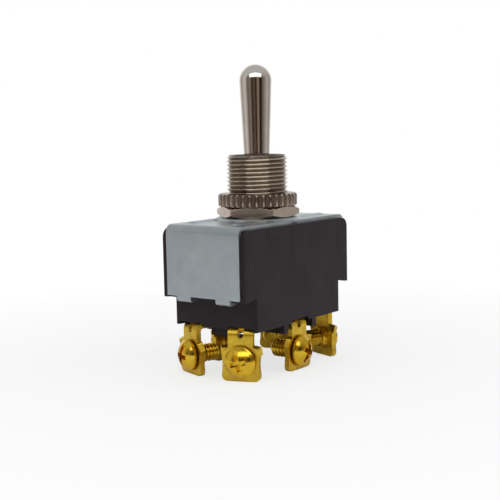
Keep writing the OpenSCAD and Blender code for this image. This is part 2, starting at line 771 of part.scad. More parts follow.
housing();
frame_plate();
fibre_liner();
bushing();
hex_nut();
knurled_nut();
lever();
pivot_pin();
carrier();
spring(-1);  // spring_a
spring(1);  // spring_b
plunger(-1);  // plunger_a
plunger(1);  // plunger_b
rocker(-1);  // rocker_a
rocker(1);  // rocker_b
moving_contact(-1, -1);  // moving_contact_a1
moving_contact(-1, 1);  // moving_contact_a3
moving_contact(1, -1);  // moving_contact_b1
moving_contact(1, 1);  // moving_contact_b3
saddle(-1);  // saddle_a
saddle(1);  // saddle_b
at_rivet(-1, -1) terminal();  // terminal_a1
at_rivet(-1, 0) terminal();  // terminal_a2
at_rivet(-1, 1) terminal();  // terminal_a3
at_rivet(1, -1) terminal();  // terminal_b1
at_rivet(1, 0) terminal();  // terminal_b2
at_rivet(1, 1) terminal();  // terminal_b3
at_rivet(-1, -1) terminal_screw();  // terminal_screw_a1
at_rivet(-1, 0) terminal_screw();  // terminal_screw_a2
at_rivet(-1, 1) terminal_screw();  // terminal_screw_a3
at_rivet(1, -1) terminal_screw();  // terminal_screw_b1
at_rivet(1, 0) terminal_screw();  // terminal_screw_b2
at_rivet(1, 1) terminal_screw();  // terminal_screw_b3
contact_rivet(-1, -1);  // contact_rivet_a1
centre_rivet(-1);  // centre_rivet_a2
contact_rivet(-1, 1);  // contact_rivet_a3
contact_rivet(1, -1);  // contact_rivet_b1
centre_rivet(1);  // centre_rivet_b2
contact_rivet(1, 1);  // contact_rivet_b3
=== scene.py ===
import json
import math

import bmesh
import bpy
from mathutils import Matrix, Vector


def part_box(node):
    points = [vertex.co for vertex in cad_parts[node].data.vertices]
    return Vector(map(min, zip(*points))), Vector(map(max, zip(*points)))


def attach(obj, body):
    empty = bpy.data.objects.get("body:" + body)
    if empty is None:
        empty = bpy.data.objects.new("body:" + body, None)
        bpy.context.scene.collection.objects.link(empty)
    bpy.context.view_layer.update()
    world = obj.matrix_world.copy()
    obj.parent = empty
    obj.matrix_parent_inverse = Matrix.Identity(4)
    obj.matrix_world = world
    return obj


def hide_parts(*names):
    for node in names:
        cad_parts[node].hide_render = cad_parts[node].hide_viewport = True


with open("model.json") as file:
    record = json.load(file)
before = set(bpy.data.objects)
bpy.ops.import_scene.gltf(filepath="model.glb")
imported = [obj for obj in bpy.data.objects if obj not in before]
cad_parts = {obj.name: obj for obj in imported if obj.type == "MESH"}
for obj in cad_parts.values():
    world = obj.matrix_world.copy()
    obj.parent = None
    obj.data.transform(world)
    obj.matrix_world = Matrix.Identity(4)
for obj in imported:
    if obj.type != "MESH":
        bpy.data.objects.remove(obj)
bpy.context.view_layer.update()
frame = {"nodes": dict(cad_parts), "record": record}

# Lengths below are in millimetres in the row frame, and MM turns them into metres
MM = 0.001

# ---------------------------------------------------------------- sizes


def box_mm(node):
    """Lowest and highest corner of a CAD node, in millimetres."""
    low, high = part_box(node)
    return low / MM, high / MM


FRAME_HIGH = box_mm("frame_plate")[1]
BUSHING_LOW, BUSHING_HIGH = box_mm("bushing")
HEX_LOW, HEX_HIGH = box_mm("hex_nut")
KNURL_LOW, KNURL_HIGH = box_mm("knurled_nut")
LEVER_LOW, LEVER_HIGH = box_mm("lever")
PIN_HIGH = box_mm("pivot_pin")[1]
HOUSING_HIGH = box_mm("housing")[1]

# Vertices closer than WELD are joined, and heights that differ by less than TINY are the same
WELD = 1e-4
TINY = 1e-6

# Steps round a turned piece
ROUND = 120
LEVER_ROUND = 96
SCREW_ROUND = 96

# A thread's profile is a V stretched by FLANK_RISE and sunk by ROOT_FLAT, as shares of its depth,
# which leaves a flat crest and root
FLANK_RISE = 1.3
ROOT_FLAT = 0.15

# Bushing and its nuts
THREAD_R = 5.95
THREAD_DEPTH = 0.43
THREAD_PITCH = 0.794
THREAD_CHAMFER = 0.6
ENGAGED_R = 5.69
LIP_R = 5.7
LIP_CHAMFER = 0.3
SPIGOT_R = 5.0
SHEET_T = 0.7
MOUTH_R = 4.5
MOUTH_CHAMFER = 0.12
SEAT_R = 3.6
THROAT_A = math.radians(32)
HEX_APOTHEM = 7.15
HEX_TURN = math.radians(-3)
HEX_FILLET = 0.3
HEX_FACE_SHARE = 0.975
HEX_CHAMFER_A = math.radians(29)
KNURL_R = 7.75
KNURL_FACE_R = 6.6
KNURL_DISH_R = 6.1
KNURL_FLUTES = 36
STEPS_PER_FLUTE = 16
FLUTE_R = 0.5
FLUTE_OUT = 0.05

# Lever
PIVOT_Z = 5.2
TIP_R = 3.175
LEVER_R = 2.55
LEVER_STEPS = 8
FLARE_R = 2.47
FLARE_Z = 10.0
WAIST_R = 2.3
WAIST_Z = 8.4
BALL_R = 3.5
STUB_R = 1.7
STUB_CHAMFER = 0.4
PIN_CLEARANCE = 0.03

# Frame
BOSS_H = 0.45
BOSS_R = 8.0
BOSS_RUN = 0.55
BEAD_H = 0.4
BEAD_W = 3.4
BEAD_L = 30.6
BEAD_Y = 5.4
BEND_R = 1.5
FLANGE_Z = -13.9
LEDGE_Z = -14.33
LEDGE_SLOPE = math.atan(0.5 / 2.7)
TAB_W = 3.3
TAB_PITCH = 9.3
TAB_GRIP = 1.9
TOP_STEP = 0.3
FLANGE_STEP = 0.6
ACROSS_STEP = 0.2

# Case, and the strips beside the flanges: how far they stand proud and reach into the case
CASE_CORNER_R = 1.8
CASE_LEDGE_Z = -14.3
STRIP_RISE = 0.4
STRIP_GAP = 0.04
STRIP_ROOT = 1.3
STRIP_SINK = 0.3

# Terminal screws
SCREW_R = 1.75
SCREW_L = 6.2
SCREW_PITCH = 0.79
SCREW_DEPTH = 0.4
SCREW_CHAMFER = 0.45
HEAD_R = 3.0
HEAD_H = 2.0
HEAD_GAP = 0.3
HEAD_RIM = 0.62
HEAD_EDGE = 0.1
DOME_INSET = 0.12
DOME_STEPS = 16
SLOT_W = 0.84
SLOT_DEPTH = 0.85
CROSS_W = 0.9
CROSS_L = 3.0
CROSS_DEPTH = 1.25

# Each terminal's place, with the turn of its screw's slot in degrees
SLOT_TURNS = {"a1": 12, "a2": -24, "a3": 33, "b1": -8, "b2": 18, "b3": -30}
FLOOR_Z = min(box_mm(f"terminal_{place}")[0].z for place in SLOT_TURNS)

# ---------------------------------------------------------------- meshes


def ring(bm, radius, z, count):
    """One ring of vertices, or a single one on the axis."""
    if radius <= 0:
        return [bm.verts.new((0, 0, z))]
    step = 2 * math.pi / count
    angles = [i * step for i in range(count)]
    return [bm.verts.new((radius * math.cos(a), radius * math.sin(a), z)) for a in angles]


def bridge(bm, lower, upper):
    """Faces between two rings, either of which may be a single point."""
    count = max(len(lower), len(upper))
    for i in range(count):
        corners = [lower[i % len(lower)], lower[(i + 1) % len(lower)]]
        corners += [upper[(i + 1) % len(upper)], upper[i % len(upper)]]
        unique = list(dict.fromkeys(corners))
        if len(unique) > 2:
            bm.faces.new(unique)


def revolve(bm, profile, count):
    """Turns a list of (radius, z) about the Z axis and returns its first and last ring."""
    rings = [ring(bm, radius, z, count) for radius, z in profile]
    for lower, upper in zip(rings, rings[1:]):
        bridge(bm, lower, upper)
    return rings[0], rings[-1]


def arc(cx, cz, radius, start, end, steps):
    """Points of an arc, with its angles in degrees."""
    points = []
    for i in range(steps + 1):
        a = math.radians(start + (end - start) * i / steps)
        points.append((cx + radius * math.cos(a), cz + radius * math.sin(a)))
    return points


def add_thread(bm, crest_r, depth, pitch, z0, z1, limit, count, per_turn):
    """A helical thread between two heights, with its rows along the helix. limit(z) caps the radius."""

    def point(i, j):
        turn = i / count
        z = min(z1, max(z0, z0 + ((j - per_turn) / per_turn + turn) * pitch))
        phase = ((z - z0) / pitch - turn) % 1.0
        height = min(1.0, max(0.0, FLANK_RISE * (1 - abs(2 * phase - 1)) - ROOT_FLAT))
        radius = min(limit(z), crest_r - depth * (1 - height))
        return radius * math.cos(2 * math.pi * turn), radius * math.sin(2 * math.pi * turn), z

    rows = int((z1 - z0) / pitch * per_turn) + 2 * per_turn + 2
    grid = [[bm.verts.new(point(i, j)) for j in range(rows)] for i in range(count)]
    for i in range(count):
        for j in range(rows - per_turn - 1):
            after, up = (grid[i + 1], j) if i + 1 < count else (grid[0], j + per_turn)
            corners = [grid[i][j], after[up], after[up + 1], grid[i][j + 1]]
            heights = [c.co.z for c in corners]
            if min(heights) < z1 - TINY and max(heights) > z0 + TINY:
                bm.faces.new(corners)


def verts_at(bm, z, low_r, high_r, count):
    """The vertices at a height and between two radii, in order round the axis."""
    found = {}
    for v in bm.verts:
        if abs(v.co.z - z) < TINY and low_r < v.co.xy.length < high_r:
            key = round(math.atan2(v.co.y, v.co.x) / (2 * math.pi) * count) % count
            found.setdefault(key, v)
    return [found[i] for i in range(count)]


def around(bm, angles, rows):
    """A closed ring-shaped solid. rows holds functions that give (radius, z) at an angle."""
    rings = []
    for row in rows:
        points = [row(a) for a in angles]
        spots = [(r * math.cos(a), r * math.sin(a), z) for a, (r, z) in zip(angles, points)]
        rings.append([bm.verts.new(spot) for spot in spots])
    for lower, upper in zip(rings, rings[1:] + rings[:1]):
        bridge(bm, lower, upper)


def finish_mesh(bm, name, smooth_angle):
    """Cleans a mesh, scales it to metres and marks the edges that stay sharp."""
    bmesh.ops.remove_doubles(bm, verts=bm.verts, dist=WELD)
    loose = [v for v in bm.verts if not v.link_faces]
    bmesh.ops.delete(bm, geom=loose, context="VERTS")
    bmesh.ops.recalc_face_normals(bm, faces=bm.faces)
    bmesh.ops.scale(bm, vec=(MM, MM, MM), verts=bm.verts)
    smooth_by_angle(bm, smooth_angle)
    mesh = bpy.data.meshes.new(name)
    bm.to_mesh(mesh)
    bm.free()
    return mesh


def smooth_by_angle(bm, angle):
    """Smooth faces, with the edges over an angle in degrees kept sharp."""
    for face in bm.faces:
        face.smooth = True
    for edge in bm.edges:
        edge.smooth = len(edge.link_faces) == 2 and edge.calc_face_angle(0) < math.radians(angle)


def new_object(name, mesh):
    """An object in the scene, from a mesh, lamp or camera."""
    obj = bpy.data.objects.new(name, mesh)
    bpy.context.scene.collection.objects.link(obj)
    return obj


def bevel(obj, width, segments=2, angle=30):
    """Rounds an object's edges by a width in millimetres."""
    mod = obj.modifiers.new("edges", "BEVEL")
    mod.width = width * MM
    mod.segments = segments
    mod.limit_method = "ANGLE"
    mod.angle_limit = math.radians(angle)
    mod.use_clamp_overlap = True
    mod.harden_normals = True


def combine(mesh, tool_meshes, name, operation):
    """The mesh with the tools joined to it or cut from it, as a new mesh."""
    target = new_object("target", mesh)
    tools = [new_object("tool", m) for m in tool_meshes]
    for tool in tools:
        mod = target.modifiers.new("combine", "BOOLEAN")
        mod.operation = operation
        mod.solver = "EXACT"
        mod.object = tool
    done = bpy.data.meshes.new_from_object(target.evaluated_get(bpy.context.evaluated_depsgraph_get()))
    done.name = name
    for obj in [target, *tools]:
        bpy.data.objects.remove(obj)
    return done


def cut(mesh, tool_meshes, name):
    return combine(mesh, tool_meshes, name, "DIFFERENCE")


def join(mesh, tool_meshes, name):
    return combine(mesh, tool_meshes, name, "UNION")


def box_mesh(low, high):
    """A block between two corners."""
    bm = bmesh.new()
    bmesh.ops.create_cube(bm, size=1)
    size = [h - l for l, h in zip(low, high)]
    middle = [(h + l) / 2 for l, h in zip(low, high)]
    bmesh.ops.scale(bm, vec=size, verts=bm.verts)
    bmesh.ops.translate(bm, vec=middle, verts=bm.verts)
    return finish_mesh(bm, "tool", 30)


def rod_mesh(radius, start, end, count=48):
    """A capped cylinder between two points."""
    bm = bmesh.new()
    a, b = Vector(start), Vector(end)
    turn = (b - a).to_track_quat("Z", "Y").to_matrix().to_4x4()
    length = (b - a).length
    revolve(bm, [(0, 0), (radius, 0), (radius, length), (0, length)], count)
    bmesh.ops.transform(bm, matrix=Matrix.Translation(a) @ turn, verts=bm.verts)
    return finish_mesh(bm, "tool", 30)


def add_piece(name, mesh, material, body, nodes):
    """A finished piece that stands for CAD nodes and rides on their body."""
    obj = new_object(name, mesh)
    obj.data.materials.clear()
    obj.data.materials.append(material)
    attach(obj, body)
    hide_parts(*nodes)
    return obj


# ---------------------------------------------------------------- materials


class Shader:
    """A Principled material, with short calls for the nodes that give it its detail."""

    def __init__(self, name, metallic=0.0, roughness=0.5):
        self.material = bpy.data.materials.new(name)
        self.material.use_nodes = True
        self.tree = self.material.node_tree
        self.bsdf = self.tree.nodes["Principled BSDF"]
        self.bsdf.inputs["Metallic"].default_value = metallic
        self.bsdf.inputs["Roughness"].default_value = roughness
        self.coords = self.tree.nodes.new("ShaderNodeTexCoord").outputs["Object"]

    def node(self, kind, **values):
        """A new node, with its settings."""
        made = self.tree.nodes.new(kind)
        for key, value in values.items():
            setattr(made, key, value)
        return made

    def link(self, output, target):
        self.tree.links.new(output, target)

    def stretched(self, scale):
        """Object coordinates in millimetres, times a scale for each axis."""
        mapping = self.node("ShaderNodeMapping")
        self.link(self.coords, mapping.inputs["Vector"])
        mapping.inputs["Scale"].default_value = [s / MM for s in scale]
        return mapping.outputs["Vector"]

    def noise(self, size, detail=3.0, stretch=(1, 1, 1)):
        """Noise whose features are about size millimetres across."""
        made = self.node("ShaderNodeTexNoise")
        made.inputs["Scale"].default_value = 1.0
        made.inputs["Detail"].default_value = detail
        made.inputs["Roughness"].default_value = 0.55
        self.link(self.stretched([s / size for s in stretch]), made.inputs["Vector"])
        return made.outputs["Fac"]

    def ramp(self, value, stops):
        """A colour or level by value. stops are (place, colour or level)."""
        made = self.node("ShaderNodeValToRGB")
        elements = made.color_ramp.elements
        while len(elements) < len(stops):
            elements.new(0.5)
        for element, (place, level) in zip(elements, stops):
            element.position = place
            element.color = (*level, 1) if isinstance(level, tuple) else (level, level, level, 1)
        self.link(value, made.inputs["Fac"])
        return made.outputs["Color"]

    def mix(self, factor, a, b):
        """Mixes two colours, each a socket or a tuple."""
        made = self.node("ShaderNodeMix", data_type="RGBA")
        for key, value in ((0, factor), (6, a), (7, b)):
            if isinstance(value, bpy.types.NodeSocket):
                self.link(value, made.inputs[key])
            else:
                made.inputs[key].default_value = (*value, 1) if isinstance(value, tuple) else value
        return made.outputs[2]

    def from_axis(self, low, high):
        """0 within the first radius about the Z axis and 1 beyond the second, in millimetres."""
        flat = self.node("ShaderNodeVectorMath", operation="MULTIPLY")
        flat.inputs[1].default_value = (1, 1, 0)
        self.link(self.coords, flat.inputs[0])
        length = self.node("ShaderNodeVectorMath", operation="LENGTH")
        self.link(flat.outputs["Vector"], length.inputs[0])
        share = self.node("ShaderNodeMapRange", interpolation_type="SMOOTHSTEP")
        share.inputs["From Min"].default_value = low * MM
        share.inputs["From Max"].default_value = high * MM
        self.link(length.outputs["Value"], share.inputs["Value"])
        return share.outputs["Result"]

    def colour(self, socket):
        self.link(socket, self.bsdf.inputs["Base Color"])

    def rough(self, value, low, high):
        """Roughness that follows a value between two levels."""
        self.link(self.ramp(value, [(0.3, low), (0.7, high)]), self.bsdf.inputs["Roughness"])

    def bump(self, value, height, normal=None):
        """Relief whose full height is given in millimetres."""
        made = self.node("ShaderNodeBump")
        made.inputs["Strength"].default_value = 1.0
        made.inputs["Distance"].default_value = height * MM
        self.link(value, made.inputs["Height"])
        if normal is not None:
            self.link(normal, made.inputs["Normal"])
        self.link(made.outputs["Normal"], self.bsdf.inputs["Normal"])
        return made.outputs["Normal"]


def phenolic():
    """Dark brown-black moulding compound: satin, with faint mottling, flow marks and fine grain."""
    s = Shader("phenolic", roughness=0.42)
    s.bsdf.inputs["Specular IOR Level"].default_value = 0.24
    mottle = s.noise(5.0, 4.0)
    flow = s.noise(2.2, 3.0, stretch=(1, 1, 0.22))
    grain = s.noise(0.16, 2.0)
    dark, light = (0.0135, 0.0075, 0.0105), (0.019, 0.0115, 0.016)
    base = s.mix(s.ramp(mottle, [(0.35, 0.0), (0.7, 1.0)]), dark, light)
    s.colour(s.mix(s.ramp(flow, [(0.34, 0.35), (0.5, 0.0)]), base, (0.010, 0.0065, 0.008)))
    s.rough(flow, 0.46, 0.38)
    first = s.bump(grain, 0.006)
    s.bump(s.noise(1.6, 2.0), 0.006, first)
    return s.material


def zinc():
    """Zinc-plated sheet: blue-grey, with rolled grain, faint clouding and small scratches."""
    s = Shader("zinc_plate", metallic=0.85, roughness=0.4)
    cloud = s.noise(3.2, 4.0)
    grain = s.noise(0.5, 3.0, stretch=(1, 0.12, 0.12))
    scratch = s.noise(0.35, 2.0, stretch=(0.08, 1, 1))
    base = s.mix(s.ramp(cloud, [(0.3, 0.0), (0.75, 1.0)]), (0.37, 0.42, 0.45), (0.47, 0.52, 0.54))
    s.colour(s.mix(s.ramp(grain, [(0.4, 0.0), (0.7, 0.5)]), base, (0.40, 0.44, 0.45)))
    s.rough(cloud, 0.30, 0.40)
    first = s.bump(grain, 0.001)
    s.bump(scratch, 0.0008, first)
    return s.material


def turned_metal(name, light, dark, low, high, line, depth, shade_radii=None):
    """Plated and turned metal: fine tool lines round the axis, and faint tarnish.

    The last argument holds two radii about the axis: within the first the colour is darkened to a painted
    shade for the thread roots and flute hollows, and beyond the second it is plain.
    """
    s = Shader(name, metallic=1.0, roughness=low)
    tarnish = s.noise(1.7, 4.0)
    lines = s.noise(line, 2.0, stretch=(0.05, 0.05, 1))
    base = s.mix(s.ramp(tarnish, [(0.35, 0.0), (0.72, 1.0)]), light, dark)
    if shade_radii:
        # Painted shade: near the axis, where the thread roots and flute hollows lie, the colour is darkened
        # to stand in for the shade there
        painted_shade = tuple(level * 0.36 for level in dark)
        base = s.mix(s.from_axis(*shade_radii), painted_shade, base)
    s.colour(base)
    s.rough(tarnish, low, high)
    s.bump(lines, depth)
    return s.material


def polished_nickel():
    """The bat lever: bright polished plate with hairline polishing marks and faint waviness."""
    s = Shader("polished_nickel", metallic=1.0, roughness=0.07)
    cloud = s.noise(4.0, 3.0)
    hairs = s.noise(0.12, 2.0, stretch=(0.12, 0.12, 1))
    s.colour(s.mix(s.ramp(cloud, [(0.35, 0.0), (0.7, 1.0)]), (0.80, 0.76, 0.71), (0.72, 0.67, 0.61)))
    s.rough(cloud, 0.05, 0.11)
    first = s.bump(hairs, 0.0004)
    s.bump(s.noise(2.4, 1.0), 0.004, first)
    return s.material


def brass(name, light, dark, low, high, grain_size=0.4):
    """Stamped or turned brass, with darker tarnish in patches and a fine grain."""
    s = Shader(name, metallic=1.0, roughness=low)
    patch = s.noise(1.8, 4.0)
    grain = s.noise(grain_size, 3.0)
    base = s.mix(s.ramp(patch, [(0.35, 0.0), (0.7, 1.0)]), light, dark)
    s.colour(s.mix(s.ramp(grain, [(0.5, 0.0), (0.75, 0.4)]), base, dark))
    s.rough(grain, low, high)
    s.bump(grain, 0.002)
    return s.material


def plain(name, light, dark, metallic, low, high, size=0.8):
    """Inner pieces: two close tones and a fine grain."""
    s = Shader(name, metallic=metallic, roughness=low)
    grain = s.noise(size, 3.0)
    s.colour(s.mix(s.ramp(grain, [(0.3, 0.0), (0.7, 1.0)]), light, dark))
    s.rough(grain, low, high)
    s.bump(s.noise(size / 3, 2.0), 0.003)
    return s.material


PHENOLIC = phenolic()
ZINC = zinc()
# Radii about the axis within which the bushing's and the fluted nut's colour is darkened to a painted shade
# for the thread roots and flute hollows, and beyond which it is plain
THREAD_SHADE_RADII = (5.5, 5.82)
FLUTE_SHADE_RADII = (7.2, 7.6)
NICKEL = turned_metal(
    "nickel", (0.56, 0.48, 0.39), (0.46, 0.38, 0.31), 0.16, 0.22, 0.25, 0.0004, THREAD_SHADE_RADII)
FLUTED_NICKEL = turned_metal(
    "fluted_nickel", (0.52, 0.42, 0.34), (0.40, 0.31, 0.25), 0.22, 0.30, 0.5, 0.0005, FLUTE_SHADE_RADII)
NUT_NICKEL = turned_metal(
    "nut_nickel", (0.62, 0.54, 0.46), (0.50, 0.42, 0.35), 0.16, 0.24, 0.5, 0.0005)
POLISHED = polished_nickel()
TERMINAL_BRASS = brass("terminal_brass", (0.84, 0.57, 0.06), (0.66, 0.43, 0.04), 0.28, 0.40)
SCREW_BRASS = brass("screw_brass", (0.90, 0.60, 0.05), (0.74, 0.45, 0.035), 0.13, 0.22, 0.25)
INNER = {
    "fibre": plain("fibre", (0.12, 0.10, 0.08), (0.08, 0.065, 0.05), 0.0, 0.7, 0.85),
    "steel": plain("spring_steel", (0.58, 0.58, 0.60), (0.44, 0.44, 0.46), 1.0, 0.25, 0.4, 0.3),
    "nylon": plain("nylon", (0.72, 0.66, 0.52), (0.62, 0.56, 0.43), 0.0, 0.4, 0.55),
    "brass": brass("inner_brass", (0.70, 0.50, 0.15), (0.52, 0.36, 0.10), 0.3, 0.42),
    "copper": plain("copper", (0.72, 0.36, 0.20), (0.55, 0.25, 0.13), 1.0, 0.28, 0.42),
    "silver": plain("silver", (0.82, 0.82, 0.83), (0.68, 0.68, 0.69), 1.0, 0.2, 0.35, 0.4),
}

# ---------------------------------------------------------------- lever


def lever_profile():
    """Half outline of the lever from the stub's end to the tip."""
    tip_z = LEVER_HIGH.z - TIP_R
    ball_top = math.degrees(math.acos(WAIST_R / BALL_R))
    ball_low = math.degrees(math.acos(STUB_R / BALL_R))
    points = [(0, LEVER_LOW.z), (STUB_R - STUB_CHAMFER, LEVER_LOW.z), (STUB_R, LEVER_LOW.z + STUB_CHAMFER)]
    points += arc(0, PIVOT_Z, BALL_R, -ball_low, ball_top, 24)
    points += [(WAIST_R, WAIST_Z), (FLARE_R, FLARE_Z), (LEVER_R, BUSHING_HIGH.z)]
    for i in range(1, LEVER_STEPS):
        share = i / LEVER_STEPS
        radius = LEVER_R + (TIP_R - LEVER_R) * share
        points.append((radius, BUSHING_HIGH.z + (tip_z - BUSHING_HIGH.z) * share))
    points += arc(0, tip_z, TIP_R, 0, 88, 20)
    return points + [(0, LEVER_HIGH.z)]


def make_lever():
    """The bat handle, its ball and its stub in one, cross-drilled for the pin."""
    bm = bmesh.new()
    revolve(bm, lever_profile(), LEVER_ROUND)
    mesh = finish_mesh(bm, "lever", 35)
    pin_r = PIN_HIGH.x + PIN_CLEARANCE
    hole = rod_mesh(pin_r, (0, -BALL_R - 1, PIVOT_Z), (0, BALL_R + 1, PIVOT_Z))
    add_piece("bat_lever", cut(mesh, [hole], "lever"), POLISHED, "lever", ["lever"])


# ---------------------------------------------------------------- bushing


def bushing_cap(z):
    """Largest radius of the thread at a height, for the chamfer at its top."""
    return THREAD_R - max(0.0, z - (BUSHING_HIGH.z - THREAD_CHAMFER))


def make_bushing():
    """The threaded bushing, rolled over below the sheet, with slots inside for the pin."""
    bm = bmesh.new()
    top = BUSHING_HIGH.z
    bottom = BUSHING_LOW.z
    add_thread(bm, THREAD_R, THREAD_DEPTH, THREAD_PITCH, 0, top, bushing_cap, ROUND, 12)
    throat_r = SEAT_R * math.cos(THROAT_A)
    throat_z = PIVOT_Z + SEAT_R * math.sin(THROAT_A)
    inner = [(THREAD_R - THREAD_CHAMFER, top), (MOUTH_R + MOUTH_CHAMFER, top), (MOUTH_R, top - MOUTH_CHAMFER)]
    inner += [(throat_r, throat_z)] + arc(0, PIVOT_Z, SEAT_R, math.degrees(THROAT_A), 0, 8)[1:]
    inner += [(SEAT_R, bottom), (LIP_R - LIP_CHAMFER, bottom), (LIP_R, bottom + LIP_CHAMFER)]
    inner += [(LIP_R, -SHEET_T), (SPIGOT_R, -SHEET_T), (SPIGOT_R, 0)]
    last = revolve(bm, inner, ROUND)[1]
    bridge(bm, last, verts_at(bm, 0, SPIGOT_R + 0.1, THREAD_R + 0.1, ROUND))
    mesh = finish_mesh(bm, "bushing", 28)
    half = PIN_HIGH.y + 0.15
    slot_r = PIN_HIGH.x + 0.05
    slot = box_mesh((-slot_r, -half, bottom - 1), (slot_r, half, PIVOT_Z))
    crown = rod_mesh(slot_r, (0, -half, PIVOT_Z), (0, half, PIVOT_Z))
    mesh = cut(mesh, [slot, crown], "bushing")
    add_piece("threaded_bushing", mesh, NICKEL, "switch", ["bushing"])


# ---------------------------------------------------------------- nuts


def hex_radius(angle):
    """Radius of a hexagon with rounded corners."""
    sector = math.radians(60)
    off = (angle - HEX_TURN) % sector
    from_corner = min(off, sector - off)
    centre = (HEX_APOTHEM - HEX_FILLET) / math.cos(sector / 2)
    reach = centre + HEX_FILLET * math.cos(sector / 2)
    touch = math.atan2(HEX_FILLET * math.sin(sector / 2), reach)
    if from_corner < touch:
        inside = HEX_FILLET ** 2 - (centre * math.sin(from_corner)) ** 2
        return centre * math.cos(from_corner) + math.sqrt(inside)
    return HEX_APOTHEM / math.cos(sector / 2 - from_corner)


def hex_angles():
    """Even steps round the nut, with closer ones at each corner."""
    angles = [math.radians(2 * i) for i in range(180)]
    near_corner = (-1.4, -0.9, -0.45, 0, 0.45, 0.9, 1.4)
    for corner in range(6):
        angles += [HEX_TURN + math.radians(60 * corner + step) for step in near_corner]
    return sorted({round(a % (2 * math.pi), 5) for a in angles})


def make_hex_nut():
    """The lower nut, chamfered on both faces."""
    low, high = HEX_LOW.z, HEX_HIGH.z
    face_r = HEX_FACE_SHARE * HEX_APOTHEM
    drop = math.tan(HEX_CHAMFER_A)

    def chamfer(angle):
        return max(0.0, hex_radius(angle) - face_r) * drop

    rows = [
        lambda a: (ENGAGED_R, low),
        lambda a: (face_r, low),
        lambda a: (hex_radius(a), low + chamfer(a)),
        lambda a: (hex_radius(a), high - chamfer(a)),
        lambda a: (face_r, high),
        lambda a: (ENGAGED_R, high),
    ]
    bm = bmesh.new()
    around(bm, hex_angles(), rows)
    mesh = finish_mesh(bm, "hex_nut", 20)
    nut = add_piece("backing_nut", mesh, NUT_NICKEL, "switch", ["hex_nut"])
    bevel(nut, 0.05, 2, 25)


def flute_radius(angle):
    """Radius of the fluted edge at an angle."""
    sector = 2 * math.pi / KNURL_FLUTES
    off = (angle + sector / 2) % sector - sector / 2
    centre = KNURL_R + FLUTE_OUT
    side = centre * math.sin(abs(off))
    if side >= FLUTE_R:
        return KNURL_R
    return min(KNURL_R, centre * math.cos(off) - math.sqrt(FLUTE_R ** 2 - side ** 2))


def make_knurled_nut():
    """The upper nut, with its flutes rounded off at both faces and a dished top."""
    low, high = KNURL_LOW.z, KNURL_HIGH.z
    count = KNURL_FLUTES * STEPS_PER_FLUTE
    angles = [2 * math.pi * i / count for i in range(count)]

    def side(inset, z):
        return lambda a: (min(KNURL_R - inset, flute_radius(a)), z)

    rows = [lambda a: (ENGAGED_R, low), side(0.16, low), side(0.02, low + 0.14), side(0, low + 0.2)]
    rows += [side(0, high - 0.38), side(0.03, high - 0.31), side(0.33, high - 0.02), side(0.40, high)]
    rows += [lambda a: (KNURL_FACE_R, high), lambda a: (KNURL_DISH_R, high - 0.02)]
    rows += [lambda a: (ENGAGED_R, high - 0.35)]
    bm = bmesh.new()
    around(bm, angles, rows)
    mesh = finish_mesh(bm, "knurled_nut", 32)
    add_piece("face_nut", mesh, FLUTED_NICKEL, "switch", ["knurled_nut"])


# ---------------------------------------------------------------- frame


def relief(x, y):
    """Height of the pressed boss and beads above the flat sheet."""
    away = math.hypot(x, y)
    boss = BOSS_H * smooth_fall(away, BOSS_R, BOSS_R + BOSS_RUN)
    run = BEAD_L / 2 - BEAD_W / 2
    dx = max(0.0, abs(x) - run)
    across = math.hypot(dx, abs(y) - BEAD_Y) / (BEAD_W / 2)
    bead = BEAD_H * (1 - across * across) ** 2 if across < 1 else 0.0
    return max(boss, bead)


def smooth_fall(value, start, end):
    """1 up to start, 0 from end, with a smooth curve between."""
    share = min(1.0, max(0.0, (value - start) / (end - start)))
    return 1 - share * share * (3 - 2 * share)


def steps_between(a, b, size):
    """Even places from a to b, about size apart."""
    count = max(1, round(abs(b - a) / size))
    return [a + (b - a) * i / count for i in range(count + 1)]


def frame_path():
    """Outer outline of the channel from the middle of the top to a flange's bottom, as (x, z)."""
    outer_x = FRAME_HIGH.x
    top = -BOSS_H
    path = [(x, top) for x in steps_between(0, outer_x - BEND_R, TOP_STEP)]
    path += arc(outer_x - BEND_R, top - BEND_R, BEND_R, 90, 0, 8)[1:]
    return path + [(outer_x, z) for z in steps_between(top - BEND_R, FLANGE_Z, FLANGE_STEP)[1:]]


def tab_path():
    """Outer outline of a tab below the flange, curled under the ledge."""
    inner_x = FRAME_HIGH.x - SHEET_T
    path = arc(inner_x, LEDGE_Z, SHEET_T, 0, -90 - math.degrees(LEDGE_SLOPE), 8)
    x, z = path[-1]
    return path + [(x - TAB_GRIP * math.cos(LEDGE_SLOPE), z + TAB_GRIP * math.sin(LEDGE_SLOPE))]


def frame_columns():
    """Places across the sheet, with one on each side of each tab."""
    half = FRAME_HIGH.y
    edges = sorted(s * (TAB_PITCH / 2 + t * TAB_W / 2) for s in (-1, 1) for t in (-1, 1))
    stops = [-half, *edges, half]
    places = [y for a, b in zip(stops, stops[1:]) for y in steps_between(a, b, ACROSS_STEP)]
    return sorted({round(y, 4) for y in places})


def add_tabs(bm, side, bottom, columns):
    """The two tabs of one flange, from the row of vertices along its bottom edge."""
    for j in range(len(columns) - 1):
        middle = abs((columns[j] + columns[j + 1]) / 2)
        if abs(middle - TAB_PITCH / 2) > TAB_W / 2:
            continue
        left, after = bottom[j], bottom[j + 1]
        for x, z in tab_path():
            pair = [bm.verts.new((side * x, columns[k], z)) for k in (j, j + 1)]
            bm.faces.new([left, after, pair[1], pair[0]])
            left, after = pair


